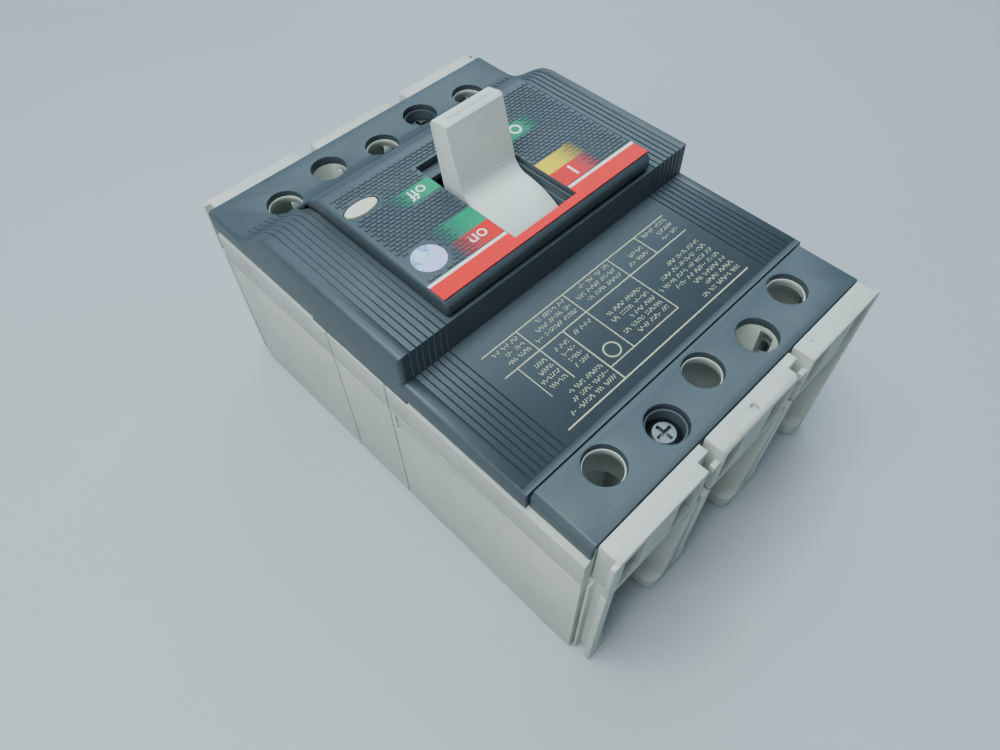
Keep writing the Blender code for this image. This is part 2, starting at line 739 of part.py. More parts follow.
def bimetal(name, centre):
    bm = bmesh.new()
    foot, ledge = 6.8 + GAP, 8.1 + GAP
    outline = [(-31, foot), (-31, ledge), (-33.7, ledge), (-33.7, 43), (-34.7, 43), (-34.7, foot)]
    prism(bm, outline, "x", centre - 3.5, centre + 3.5)
    return piece(name, bm, "silver_plate")


def magnet_yoke(name, centre):
    """Steel U around the conductor that pulls the trip finger on a short circuit."""
    bm = bmesh.new()
    leg = [(6.4, 20.0), (6.4, 4.7), (8.0, 4.7), (8.0, 21.6)]
    outline = [(centre + x, z) for x, z in leg] + [(centre - x, z) for x, z in reversed(leg)]
    prism(bm, outline, "y", -43, -37)
    return piece(name, bm, "steel")


def terminal(name, centre, side):
    """Clamp block that grips the wire against the conductor's tongue."""
    near, far = sorted((side * 52.8, side * 65.6))
    bm = bmesh.new()
    block(bm, (centre - LUG_HALF, centre + LUG_HALF), (near, far), LUG_Z)
    lug = piece(name, bm, "silver_plate")
    bm = bmesh.new()
    rod(bm, "y", (centre, 22.6), 4.4, near - 1, far + 1)
    cut(lug, bm)
    bm = bmesh.new()
    rod(bm, "z", (centre, side * TERMINAL_Y), 3.6, 23, LUG_Z[1] + 1)
    cut(lug, bm)
    return lug


def terminal_screw(name, centre, side):
    """Set screw with a hexagon socket, reached through the hole in the cover."""
    bm = bmesh.new()
    profile = [(0.0, 41.0), (2.9, 41.0), (3.3, 40.4), (3.3, 28.0), (2.4, 27.0), (0.0, 27.0)]
    spin_profile(bm, profile, 18)
    screw = piece(name, bm, "steel", (centre, side * TERMINAL_Y, 0))
    bm = bmesh.new()
    rod(bm, "z", (0, 0), 2.1, 36.5, 42, 6)
    cut(screw, bm)
    return screw


# ---- trip unit ----------------------------------------------------------------------------

def trip_bar():
    """Insulating bar over all poles: a finger behind each bimetal and one under the button."""
    bm = bmesh.new()
    rod(bm, "x", (0, 0), TRIP_R, -48, 48, 16)
    bar = piece("trip_bar", bm, "red_plastic", (0, *TRIP))
    bm = bmesh.new()
    for centre in POLES.values():
        block(bm, (centre - 2.5, centre + 2.5), (0.6, 2.2), (-10, 1))
    block(bm, (BUTTON[0] - 1.5, BUTTON[0] + 1.5), (0, 7.5), (0.4, 2.0))
    join(bar, bm)
    return bar


def trip_button():
    x, y = BUTTON
    bm = bmesh.new()
    top = ESCUTCHEON_TOP + 0.4
    low = TRIP[1] + 2.0 + GAP
    cap = [(0.0, top), (2.1, top), (BUTTON_R, top - 0.4), (BUTTON_R, top - BUTTON_HEAD)]
    profile = cap + [(1.3, top - BUTTON_HEAD), (1.3, low), (0.0, low)]
    spin_profile(bm, profile, 16)
    return piece("trip_button", bm, "red_plastic", (x, y, 0))


# ---- assembly -----------------------------------------------------------------------------

def clear_scene():
    for old in list(bpy.data.objects):
        bpy.data.objects.remove(old, do_unlink=True)


def build():
    clear_scene()
    base_case()
    middle_case()
    front_cover()
    line_terminal_cover()
    escutcheon()
    blanking_plug()
    toggle()
    slot_shield()
    handle_arm()
    main_spring("main_spring_left", -8.3)
    main_spring("main_spring_right", 8.3)
    side_plate("mechanism_plate_left", -1)
    side_plate("mechanism_plate_right", 1)
    cradle()
    upper_link()
    lower_link()
    crossbar()
    trip_bar()
    trip_button()
    cross_screw("cover_screw_line", SCREW_X, SCREW_Y)
    cross_screw("cover_screw_load", -SCREW_X, -SCREW_Y)
    for pole, centre in POLES.items():
        contact_arm(f"contact_arm_{pole}", centre)
        fixed_contact(f"fixed_contact_{pole}", centre)
        arc_chute(f"arc_chute_{pole}", centre)
        load_conductor(f"load_conductor_{pole}", centre)
        bimetal(f"bimetal_{pole}", centre)
        magnet_yoke(f"magnet_yoke_{pole}", centre)
        for end, side in ENDS.items():
            end_cover(f"{end}_end_cover_{pole}", centre, side)
            terminal(f"{end}_terminal_{pole}", centre, side)
            terminal_screw(f"{end}_terminal_screw_{pole}", centre, side)


build()
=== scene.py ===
import json
import math
import random
import bpy
from mathutils import Matrix, Vector


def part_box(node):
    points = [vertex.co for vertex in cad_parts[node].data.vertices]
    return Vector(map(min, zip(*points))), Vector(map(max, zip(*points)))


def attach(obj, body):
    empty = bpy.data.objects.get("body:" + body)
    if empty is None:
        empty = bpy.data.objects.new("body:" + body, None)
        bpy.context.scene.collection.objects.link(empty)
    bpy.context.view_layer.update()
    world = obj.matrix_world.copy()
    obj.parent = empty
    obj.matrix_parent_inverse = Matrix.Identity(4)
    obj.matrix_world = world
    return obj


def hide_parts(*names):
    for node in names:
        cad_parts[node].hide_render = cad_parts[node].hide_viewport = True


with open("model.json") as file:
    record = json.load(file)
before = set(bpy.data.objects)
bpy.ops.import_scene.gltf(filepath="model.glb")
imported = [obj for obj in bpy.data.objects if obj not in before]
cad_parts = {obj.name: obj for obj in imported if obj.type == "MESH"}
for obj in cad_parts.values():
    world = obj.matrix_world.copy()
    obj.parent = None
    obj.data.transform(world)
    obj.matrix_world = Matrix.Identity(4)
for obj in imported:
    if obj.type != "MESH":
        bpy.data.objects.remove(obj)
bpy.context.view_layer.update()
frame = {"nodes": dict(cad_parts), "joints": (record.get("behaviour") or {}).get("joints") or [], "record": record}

# Lengths are millimetres in the frame's own axes, +Z out of the front and +Y the line end.
# Only the floor and the lights are placed in metres.
mm = 0.001
weldGap = 0.000004      # in metres
flatAngle = 0.4         # degrees
level = 0.05            # ends closer than this lie in line
near = 0.1
past = 1.0              # how far a cutter reaches past the surface it cuts
nodes = frame["nodes"]
poles = {"left": -35.0, "centre": 0.0, "right": 35.0}


# small tools

def clearPick():
    if bpy.context.object and bpy.context.object.mode != "OBJECT":
        bpy.ops.object.mode_set(mode="OBJECT")
    bpy.ops.object.select_all(action="DESELECT")


def pick(piece):
    clearPick()
    piece.select_set(True)
    bpy.context.view_layer.objects.active = piece


def settle(piece, name):
    pick(piece)
    piece.name = name
    bpy.ops.object.transform_apply(location=True, rotation=True, scale=True)
    return piece


def slab(name, low, high):
    clearPick()
    middle = [(a + b) / 2 * mm for a, b in zip(low, high)]
    bpy.ops.mesh.primitive_cube_add(size=1, location=middle)
    piece = bpy.context.object
    piece.scale = [(b - a) * mm for a, b in zip(low, high)]
    return settle(piece, name)


def spanSlab(name, *spans):
    # a slab from its X, Y and Z spans
    low, high = zip(*spans)
    return slab(name, low, high)


def mirrored(span, side, about=0.0):
    # the span on one side of a middle, lower end first
    return sorted((about + side * span[0], about + side * span[1]))


def disc(name, centre, radius, low, high, sides=48):
    clearPick()
    middle = (centre[0] * mm, centre[1] * mm, (low + high) / 2 * mm)
    bpy.ops.mesh.primitive_cylinder_add(
        vertices=sides, radius=radius * mm, depth=(high - low) * mm, location=middle)
    return settle(bpy.context.object, name)


def applyAll(piece):
    pick(piece)
    for modifier in list(piece.modifiers):
        bpy.ops.object.modifier_apply(modifier=modifier.name)


def carve(piece, cutter, how="DIFFERENCE"):
    cut = piece.modifiers.new("cut", "BOOLEAN")
    cut.operation = how
    cut.object = cutter
    applyAll(piece)
    bpy.data.objects.remove(cutter, do_unlink=True)


def merge(pieces, name):
    clearPick()
    for piece in pieces:
        piece.select_set(True)
    bpy.context.view_layer.objects.active = pieces[0]
    if len(pieces) > 1:
        bpy.ops.object.join()
    return settle(bpy.context.object, name)


def copyNode(nodeName, pieceName):
    # the node's triangles, merged into clean faces
    piece = bpy.data.objects.new(pieceName, nodes[nodeName].data.copy())
    bpy.context.scene.collection.objects.link(piece)
    piece.data.materials.clear()
    pick(piece)
    bpy.ops.object.mode_set(mode="EDIT")
    bpy.ops.mesh.select_all(action="SELECT")
    bpy.ops.mesh.remove_doubles(threshold=weldGap)
    bpy.ops.mesh.dissolve_limited(angle_limit=math.radians(flatAngle))
    bpy.ops.object.mode_set(mode="OBJECT")
    return piece


def roundEdges(piece, width, steps=2, angle=32):
    bevel = piece.modifiers.new("edge", "BEVEL")
    bevel.width = width * mm
    bevel.segments = steps
    bevel.limit_method = "ANGLE"
    bevel.angle_limit = math.radians(angle)
    bevel.use_clamp_overlap = True
    applyAll(piece)


def roundWhere(piece, chosen, width, steps=4):
    # bevels the edges whose two ends, in millimetres, the test accepts
    pick(piece)
    bpy.ops.object.mode_set(mode="EDIT")
    bpy.ops.mesh.select_mode(type="EDGE")
    bpy.ops.mesh.select_all(action="DESELECT")
    bpy.ops.object.mode_set(mode="OBJECT")
    points = [v.co / mm for v in piece.data.vertices]
    for edge in piece.data.edges:
        edge.select = bool(chosen(points[edge.vertices[0]], points[edge.vertices[1]]))
    bpy.ops.object.mode_set(mode="EDIT")
    bpy.ops.mesh.bevel(offset=width * mm, segments=steps, clamp_overlap=True)
    bpy.ops.object.mode_set(mode="OBJECT")


def upright(a, b, least=0.5):
    return abs(a.x - b.x) < level and abs(a.y - b.y) < level and abs(a.z - b.z) > least


def smooth(piece, angle=38):
    pick(piece)
    bpy.ops.object.shade_smooth_by_angle(angle=math.radians(angle))


def dress(piece, finish, body="housing", standsFor=()):
    piece.data.materials.clear()
    piece.data.materials.append(finish)
    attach(piece, body)
    if standsFor:
        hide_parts(*standsFor)
    return piece


# finishes

noiseScale = {"drift": 38, "grime": 120, "cloud": 260, "speck": 1500, "blotch": 320, "fine": 2600, "floor": 6}
scratch = {"stretch": (60, 1400, 600), "turn": (0.3, 0.5, 0.6)}
brushStretch = (300, 4200, 4200)


def newFinish(name):
    finish = bpy.data.materials.new(name)
    finish.use_nodes = True
    tree = finish.node_tree
    shader = tree.nodes["Principled BSDF"]
    place = tree.nodes.new("ShaderNodeTexCoord")
    return finish, tree, shader, place.outputs["Object"]


def noiseOf(tree, place, scale, detail=4.0, rough=0.55):
    noise = tree.nodes.new("ShaderNodeTexNoise")
    noise.inputs["Scale"].default_value = scale
    noise.inputs["Detail"].default_value = detail
    noise.inputs["Roughness"].default_value = rough
    tree.links.new(place, noise.inputs["Vector"])
    return noise.outputs["Fac"]


def rampOf(tree, source, stops):
    ramp = tree.nodes.new("ShaderNodeValToRGB")
    ramp.color_ramp.elements[0].position = stops[0][0]
    ramp.color_ramp.elements[0].color = (*stops[0][1], 1)
    ramp.color_ramp.elements[1].position = stops[-1][0]
    ramp.color_ramp.elements[1].color = (*stops[-1][1], 1)
    for at, colour in stops[1:-1]:
        ramp.color_ramp.elements.new(at).color = (*colour, 1)
    tree.links.new(source, ramp.inputs["Fac"])
    return ramp.outputs["Color"]


def mixOf(tree, amount, first, second):
    mix = tree.nodes.new("ShaderNodeMix")
    mix.data_type = "RGBA"
    tree.links.new(amount, mix.inputs["Factor"])
    tree.links.new(first, mix.inputs[6])
    tree.links.new(second, mix.inputs[7])
    return mix.outputs[2]


def bumpOf(tree, source, strength, distance, onto=None):
    bump = tree.nodes.new("ShaderNodeBump")
    bump.inputs["Strength"].default_value = strength
    bump.inputs["Distance"].default_value = distance * mm
    tree.links.new(source, bump.inputs["Height"])
    if onto:
        tree.links.new(onto, bump.inputs["Normal"])
    return bump.outputs["Normal"]


def mapOf(tree, source, low, high):
    span = tree.nodes.new("ShaderNodeMapRange")
    span.inputs["To Min"].default_value = low
    span.inputs["To Max"].default_value = high
    tree.links.new(source, span.inputs["Value"])
    return span.outputs["Result"]


def tone(colour, by):
    return tuple(min(1.0, c * by) for c in colour)


def mouldedFinish(name, look):
    # moulded plastic: slow colour drift, handling grime, spark grain and a few scuffs
    finish, tree, shader, place = newFinish(name)
    base = look["colour"]
    drift = noiseOf(tree, place, noiseScale["drift"], 3)
    dim, bright = tone(base, 1 - look["drift"]), tone(base, 1 + look["drift"])
    body = rampOf(tree, drift, [(0.35, dim), (0.65, bright)])
    grime = noiseOf(tree, place, noiseScale["grime"], 6, 0.7)
    grimeMask = rampOf(tree, grime, [(0.56, (0, 0, 0)), (0.74, (look["grime"],) * 3)])
    dirt = rampOf(tree, grime, [(0.0, look["dirt"]), (1.0, tone(look["dirt"], 1.2))])
    dirty = mixOf(tree, grimeMask, body, dirt)
    # long fine scratches, stretched along one way
    mapping = tree.nodes.new("ShaderNodeMapping")
    mapping.inputs["Scale"].default_value = scratch["stretch"]
    mapping.inputs["Rotation"].default_value = scratch["turn"]
    tree.links.new(place, mapping.inputs["Vector"])
    lines = noiseOf(tree, mapping.outputs["Vector"], 1.0, 2, 0.5)
    scratchMask = rampOf(tree, lines, [(0.70, (0, 0, 0)), (0.76, (look["scuff"],) * 3)])
    pale = rampOf(tree, lines, [(0.0, tone(base, 1.5)), (1.0, tone(base, 1.8))])
    colour = mixOf(tree, scratchMask, dirty, pale)
    tree.links.new(colour, shader.inputs["Base Color"])
    rough = mapOf(tree, grime, look["rough"] - 0.06, look["rough"] + 0.1)
    tree.links.new(rough, shader.inputs["Roughness"])
    grain = noiseOf(tree, place, look["grain"], 2, 0.6)
    waves = bumpOf(tree, drift, 0.25, 0.25)
    tree.links.new(bumpOf(tree, grain, look["grainDepth"], 0.05, waves), shader.inputs["Normal"])
    shader.inputs["Specular IOR Level"].default_value = look["gloss"]
    return finish


def metalFinish(name, look):
    finish, tree, shader, place = newFinish(name)
    base = look["colour"]
    cloud = noiseOf(tree, place, noiseScale["cloud"], 5, 0.65)
    colour = rampOf(tree, cloud, [(0.3, tone(base, 0.72)), (0.55, base), (0.75, tone(base, 1.15))])
    tree.links.new(colour, shader.inputs["Base Color"])
    shader.inputs["Metallic"].default_value = 1.0
    rough = mapOf(tree, cloud, look["rough"] - 0.08, look["rough"] + 0.16)
    tree.links.new(rough, shader.inputs["Roughness"])
    mapping = tree.nodes.new("ShaderNodeMapping")
    mapping.inputs["Scale"].default_value = brushStretch
    tree.links.new(place, mapping.inputs["Vector"])
    brushed = noiseOf(tree, mapping.outputs["Vector"], 1.0, 3)
    tree.links.new(bumpOf(tree, brushed, 0.18, 0.03), shader.inputs["Normal"])
    return finish


def inkFinish(name, look):
    # ink that thins out along X between two places, so the plate's own colour comes through
    finish, tree, shader, place = newFinish(name)
    speck = noiseOf(tree, place, noiseScale["speck"], 3, 0.6)
    full = rampOf(tree, speck, [(0.3, tone(look["colour"], 0.88)), (0.7, tone(look["colour"], 1.08))])
    if "fade" in look:
        parts = tree.nodes.new("ShaderNodeSeparateXYZ")
        tree.links.new(place, parts.inputs["Vector"])
        span = tree.nodes.new("ShaderNodeMapRange")
        span.inputs["From Min"].default_value = look["fade"][0] * mm
        span.inputs["From Max"].default_value = look["fade"][1] * mm
        tree.links.new(parts.outputs["X"], span.inputs["Value"])
        under = rampOf(tree, speck, [(0.0, look["under"]), (1.0, tone(look["under"], 1.2))])
        full = mixOf(tree, span.outputs["Result"], full, under)
    tree.links.new(full, shader.inputs["Base Color"])
    rough = mapOf(tree, speck, look["rough"] - 0.05, look["rough"] + 0.08)
    tree.links.new(rough, shader.inputs["Roughness"])
    tree.links.new(bumpOf(tree, speck, 0.15, 0.02), shader.inputs["Normal"])
    shader.inputs["Specular IOR Level"].default_value = 0.18
    return finish


def foilFinish(name):
    # security foil: blotches of colour over silver
    finish, tree, shader, place = newFinish(name)
    blotch = noiseOf(tree, place, noiseScale["blotch"], 2)
    colour = rampOf(tree, blotch, [(0.30, (0.16, 0.20, 0.50)), (0.44, (0.34, 0.52, 0.62)),
                                   (0.56, (0.46, 0.34, 0.62)), (0.70, (0.60, 0.62, 0.50))])
    tree.links.new(colour, shader.inputs["Base Color"])
    shader.inputs["Metallic"].default_value = 0.35
    fine = noiseOf(tree, place, noiseScale["fine"], 2)
    tree.links.new(mapOf(tree, fine, 0.22, 0.42), shader.inputs["Roughness"])
    tree.links.new(bumpOf(tree, fine, 0.2, 0.02), shader.inputs["Normal"])
    return finish


darkColour = (0.044, 0.058, 0.070)
plastics = {
    "light": {"colour": (0.45, 0.475, 0.43), "drift": 0.05, "grime": 0.42, "dirt": (0.22, 0.19, 0.13),
              "rough": 0.52, "grain": 2600, "grainDepth": 0.35, "scuff": 0.25, "gloss": 0.40},
    "dark": {"colour": darkColour, "drift": 0.08, "grime": 0.30, "dirt": (0.085, 0.085, 0.08),
             "rough": 0.46, "grain": 2200, "grainDepth": 0.45, "scuff": 0.30, "gloss": 0.45},
    "handle": {"colour": (0.56, 0.60, 0.57), "drift": 0.03, "grime": 0.25, "dirt": (0.34, 0.31, 0.25),
               "rough": 0.40, "grain": 1500, "grainDepth": 0.15, "scuff": 0.15, "gloss": 0.50},
    "plug": {"colour": (0.60, 0.58, 0.47), "drift": 0.04, "grime": 0.30, "dirt": (0.36, 0.32, 0.22),
             "rough": 0.45, "grain": 1800, "grainDepth": 0.2, "scuff": 0.2, "gloss": 0.45},
    "fibre": {"colour": (0.33, 0.20, 0.10), "drift": 0.12, "grime": 0.40, "dirt": (0.12, 0.08, 0.05),
              "rough": 0.78, "grain": 1200, "grainDepth": 0.6, "scuff": 0.2, "gloss": 0.30},
    "red": {"colour": (0.42, 0.03, 0.03), "drift": 0.05, "grime": 0.20, "dirt": (0.14, 0.03, 0.03),
            "rough": 0.42, "grain": 1600, "grainDepth": 0.2, "scuff": 0.2, "gloss": 0.50},
}
metals = {
    "steel": {"colour": (0.52, 0.53, 0.55), "rough": 0.34},
    "blackSteel": {"colour": (0.17, 0.17, 0.18), "rough": 0.27},
    "copper": {"colour": (0.70, 0.36, 0.21), "rough": 0.34},
    "silver": {"colour": (0.70, 0.70, 0.67), "rough": 0.30},
}
finishes = {key: mouldedFinish(key + "Moulding", look) for key, look in plastics.items()}
finishes.update({key: metalFinish(key + "Metal", look) for key, look in metals.items()})
print("finishes made")


# case: base and middle shell

shell = {
    "edge": 0.35,
    "sideSlot": ((51.7, 54.0), (6.1, 6.9), (39.0, 45.7)),     # small slot in the side wall: X, Y and Z spans
    "footX": 9.0,
    "footTop": 6.0,
    "footRound": 3.0,
    "footGroove": ((8.0, 13.4), (74.4, 76.0), (2.5, 2.95)),   # from the pole's middle, along Y, and in Z
    "endFace": 74.9,
}
chamber = {
    "radius": 8.2,           # under each terminal hole
    "bottom": 45.0,
    "top": 60.3,
    "sides": 40,
    "windowX": ((-12.9, -4.8), (5.8, 12.9)),
    "windowY": (60.0, 70.0),
    "windowZ": (48.6, 60.2),
}
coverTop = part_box("line_terminal_cover")[1][2] / mm


def screwReach():
    # how far along Y the terminal screws stand from the middle
    low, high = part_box("line_terminal_screw_centre")
    return (low[1] + high[1]) / 2 / mm


def chamberCutter():
    # hollows under the terminal holes and behind the end covers' windows
    parts = []
    for x in poles.values():
        for end in (-1, 1):
            at = (x, end * screwReach())
            low, high = chamber["bottom"], chamber["top"]
            parts.append(disc("well", at, chamber["radius"], low, high, chamber["sides"]))
            for low, high in chamber["windowX"]:
                spanY = mirrored(chamber["windowY"], end)
                parts.append(spanSlab("behind", (x + low, x + high), spanY, chamber["windowZ"]))
    whole = parts[0]
    for part in parts[1:]:
        carve(whole, part, "UNION")
    return whole


def makeShells():
    base = copyNode("base_case", "baseShell")
    carve(base, spanSlab("slotCut", *shell["sideSlot"]))

    def footCorner(a, b):
        beside = min(abs(abs(a.x - x) - shell["footX"]) for x in poles.values())
        onEnd = abs(a.y) > shell["endFace"] and max(a.z, b.z) < shell["footTop"]
        return upright(a, b) and onEnd and beside < near

    roundWhere(base, footCorner, shell["footRound"], 6)
    across, along, height = shell["footGroove"]
    grooves = []
    for x in poles.values():
        for side in (-1, 1):
            for end in (-1, 1):
                grooves.append(spanSlab("footCut", mirrored(across, side, x), mirrored(along, end), height))
    carve(base, merge(grooves, "footCuts"))
    roundEdges(base, shell["edge"])
    smooth(base)
    dress(base, finishes["light"], standsFor=("base_case",))
    middle = copyNode("middle_case", "middleShell")
    carve(middle, chamberCutter())
    roundEdges(middle, shell["edge"])
    smooth(middle)
    dress(middle, finishes["light"], standsFor=("middle_case",))


makeShells()
print("shells made")


# dark cover with grooved bands

cover = {
    "grooves": (37.7, 39.55, 41.4, 43.2, 45.0, 46.8, 48.6),   # distance from the middle plane
    "grooveWidth": 0.46,
    "grooveDepth": 0.34,
    "grooveY": (-55.5, 49.8),
    "grooveZ": (60.0, 80.0),
    "joint": ((-53.0, 53.0), (49.65, 49.95)),   # X and Y spans of the line beside the terminal cover
    "jointDepth": 0.4,
    "edge": 0.5,
    "plateEdge": 0.4,
    "sideEdge": 1.3,
    "sideFrom": (52.0, 62.0),                   # side edges are beyond this X and above this Z
    "smoothAngle": 30,
}


def grooveCutter(source):
    # strips over the bands, less the cover itself moved down and back by the groove's depth
    half = cover["grooveWidth"] / 2
    strips = []
    for x in cover["grooves"]:
        for side in (-1, 1):
            spanX = (side * x - half, side * x + half)
            strips.append(spanSlab("strip", spanX, cover["grooveY"], cover["grooveZ"]))
    cutter = merge(strips, "grooveCutter")
    lowered = copyNode(source, "lowered")
    lowered.data.transform(Matrix.Translation((0, -cover["grooveDepth"] * mm, -cover["grooveDepth"] * mm)))
    carve(cutter, lowered)
    return cutter


def makeCover():
    piece = copyNode("front_cover", "frontCover")
    beyond, above = cover["sideFrom"]

    def outerEdge(a, b):
        return min(abs(a.x), abs(b.x)) > beyond and min(a.z, b.z) > above and abs(a.x - b.x) < level

    roundWhere(piece, outerEdge, cover["sideEdge"])
    roundEdges(piece, cover["edge"], 3)
    carve(piece, grooveCutter("front_cover"))
    carve(piece, spanSlab("jointCut", *cover["joint"], (coverTop - cover["jointDepth"], coverTop + past)))
    smooth(piece, cover["smoothAngle"])
    dress(piece, finishes["dark"], standsFor=("front_cover",))
    plate = copyNode("line_terminal_cover", "lineTerminalCover")
    roundEdges(plate, cover["plateEdge"], 3)
    smooth(plate, cover["smoothAngle"])
    dress(plate, finishes["dark"], standsFor=("line_terminal_cover",))


makeCover()
print("covers made")


# escutcheon with its woven top, printed marks and sticker

escutcheon = {
    "edge": 0.25,
    "cornerRound": 1.1,
    "rimDepth": 6.0,
    "rimLength": 60.0,
    "smoothAngle": 30,
    "brickPitch": (1.9, 1.15),
    "brickSize": (1.55, 0.82, 0.26),
    "brickBevel": 0.12,
    "field": ((-34.6, 34.6), (-33.2, 3.7)),
    "slot": (11.6, -29.3),      # half width kept free of bricks, and where that starts in Y
    "bare": (
        # middle and reach of the ovals without bricks: sticker, plug, button
        ((29.7, -1.8), (5.6, 5.6)), ((30.0, -26.7), (6.3, 3.4)), ((-12.5, -32.0), (3.9, 3.9))),
    "markMargin": 0.3,
    "markSolid": 0.55,          # share of a mark's fade that has no bricks
}
slotLedges = {
    "steps": (((10.25, 12.2), (68.0, 77.3)), ((9.85, 12.2), (69.0, 75.6))),   # X span on each side, Z span
    "lip": ((10.25, 10.85), (77.0, 78.1)),
    "y": (-28.2, 7.7),
    "end": ((-10.4, 10.4), (-31.0, -24.6), (75.4, 77.2)),
    "edge": 0.2,
}
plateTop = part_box("escutcheon")[1][2] / mm
greenInk = (0.0, 0.23, 0.115)
redInk = (0.60, 0.010, 0.012)
yellowInk = (0.66, 0.46, 0.0)
marks = {
    "offField": {"x": (11.0, 25.0), "y": (-23.6, -18.2), "colour": greenInk, "fade": (15, 24)},
    "onGreen": {"x": (11.0, 25.0), "y": (-7.8, -1.6), "colour": greenInk, "fade": (15, 24)},
    "onRed": {"x": (11.0, 25.0), "y": (-1.6, 4.3), "colour": redInk, "fade": (14, 24)},
    "ringField": {"x": (-26.5, -11.0), "y": (-23.6, -18.0), "colour": greenInk, "fade": (-17, -25)},
    "yellowField": {"x": (-26.5, -11.0), "y": (-6.9, -1.6), "colour": yellowInk, "fade": (-16, -25)},
    "strokeField": {"x": (-26.5, -11.0), "y": (-1.6, 4.3), "colour": redInk, "fade": (-17, -25)},
}
redBand = {"x": 35.9, "y": (5.45, 10.3), "notch": (10.9, 7.8), "line": (4.6, 5.45), "lineFrom": 11.2}
signs = {
    "words": {"offWord": ("off", (16.6, -20.9)), "onWord": ("on", (16.6, 1.3))},
    "wordSize": 5.4,
    "wordThick": 0.04,
    "ring": ((-18.1, -20.8), 1.9, 1.25),
    "stroke": ((-17.15, -16.45), (-0.7, 3.2)),
    "foil": ((29.7, -1.8), 4.4),
    "foilEdge": 0.04,
    "plugEdge": 0.3,
}
sunk = 0.1      # how deep printed pieces reach into the plate
rise = {"field": 0.06, "band": 0.07, "ring": 0.07, "word": 0.08, "stroke": 0.12, "foil": 0.1}
inks = {}
for markName, mark in marks.items():
    markLook = {"colour": mark["colour"], "fade": mark["fade"], "under": darkColour, "rough": 0.42}
    inks[markName] = inkFinish(markName + "Ink", markLook)


def brickGroup(x, y):
    # "plain" on the bare plate, a mark's name where its ink fades over the weave, None where no brick goes
    halfSlot, slotFrom = escutcheon["slot"]
    if abs(x) < halfSlot and y > slotFrom:
        return None
    for (midX, midY), (reachX, reachY) in escutcheon["bare"]:
        if ((x - midX) / reachX) ** 2 + ((y - midY) / reachY) ** 2 < 1:
            return None
    margin = escutcheon["markMargin"]
    for name, mark in marks.items():
        (xLow, xHigh), (yLow, yHigh) = mark["x"], mark["y"]
        if xLow - margin < x < xHigh + margin and yLow - margin < y < yHigh + margin:
            full, gone = mark["fade"]
            clearTo = full + (gone - full) * escutcheon["markSolid"]
            solid = x < clearTo if gone > 0 else x > clearTo
            return None if solid else name
    return "plain"


def makeBrick():
    width, depth, height = escutcheon["brickSize"]
    brick = slab("brick", (-width / 2, -depth / 2, -sunk), (width / 2, depth / 2, height))
    pick(brick)
    bpy.ops.object.mode_set(mode="EDIT")
    bpy.ops.mesh.select_all(action="DESELECT")
    bpy.ops.mesh.select_mode(type="FACE")
    bpy.ops.object.mode_set(mode="OBJECT")
    for face in brick.data.polygons:
        face.select = face.normal.z > 0.9
    bpy.ops.object.mode_set(mode="EDIT")
    bpy.ops.mesh.bevel(offset=escutcheon["brickBevel"] * mm, segments=1)
    bpy.ops.object.mode_set(mode="OBJECT")
    return brick


def makeWeave():
    # one bevelled brick, repeated in offset rows
    brick = makeBrick()
    (xLow, xHigh), (yLow, yHigh) = escutcheon["field"]
    pitchX, pitchY = escutcheon["brickPitch"]
    bricks = {}
    row = 0
    y = yLow
    while y <= yHigh:
        x = xLow + (pitchX / 2 if row % 2 else 0)
        while x <= xHigh:
            group = brickGroup(x, y)
            if group:
                one = brick.copy()
                one.data = brick.data.copy()
                one.data.transform(Matrix.Translation((x * mm, y * mm, plateTop * mm)))
                bpy.context.scene.collection.objects.link(one)
                bricks.setdefault(group, []).append(one)
            x += pitchX
        y += pitchY
        row += 1
    bpy.data.objects.remove(brick, do_unlink=True)
    for group, members in bricks.items():
        finish = finishes["dark"] if group == "plain" else inks[group]
        dress(merge(members, group + "Weave"), finish)


def makeLiner():
    # stepped dark ledges down both sides of the handle slot, and a step at its load end
    ledges = []
    for spanX, spanZ in slotLedges["steps"]:
        for side in (-1, 1):
            ledges.append(spanSlab("ledge", mirrored(spanX, side), slotLedges["y"], spanZ))
    ledges.append(spanSlab("ledge", *slotLedges["end"]))
    spanX, spanZ = slotLedges["lip"]
    for side in (-1, 1):
        ledges.append(spanSlab("ledge", mirrored(spanX, side), slotLedges["y"], spanZ))
    for number, ledge in enumerate(ledges):
        ledge.name = "slotLedge%d" % number
        roundEdges(ledge, slotLedges["edge"], 2)
        smooth(ledge)
        dress(ledge, finishes["dark"])


def makeBand(red, white):
    # red band across the plate, notched round the handle's skirt, and a white line beside it on each side
    half = redBand["x"]
    spanZ = (plateTop - sunk, plateTop + rise["band"])
    band = spanSlab("redBand", (-half, half), redBand["y"], spanZ)
    notchX, notchY = redBand["notch"]
    carve(band, spanSlab("bandCut", (-notchX, notchX), (0, notchY), (plateTop - past, plateTop + past)))
    dress(band, red)
    start = redBand["lineFrom"]
    for name, spanX in (("whiteLineLeft", (-half, -start)), ("whiteLineRight", (start, half))):
        dress(spanSlab(name, spanX, redBand["line"], spanZ), white)


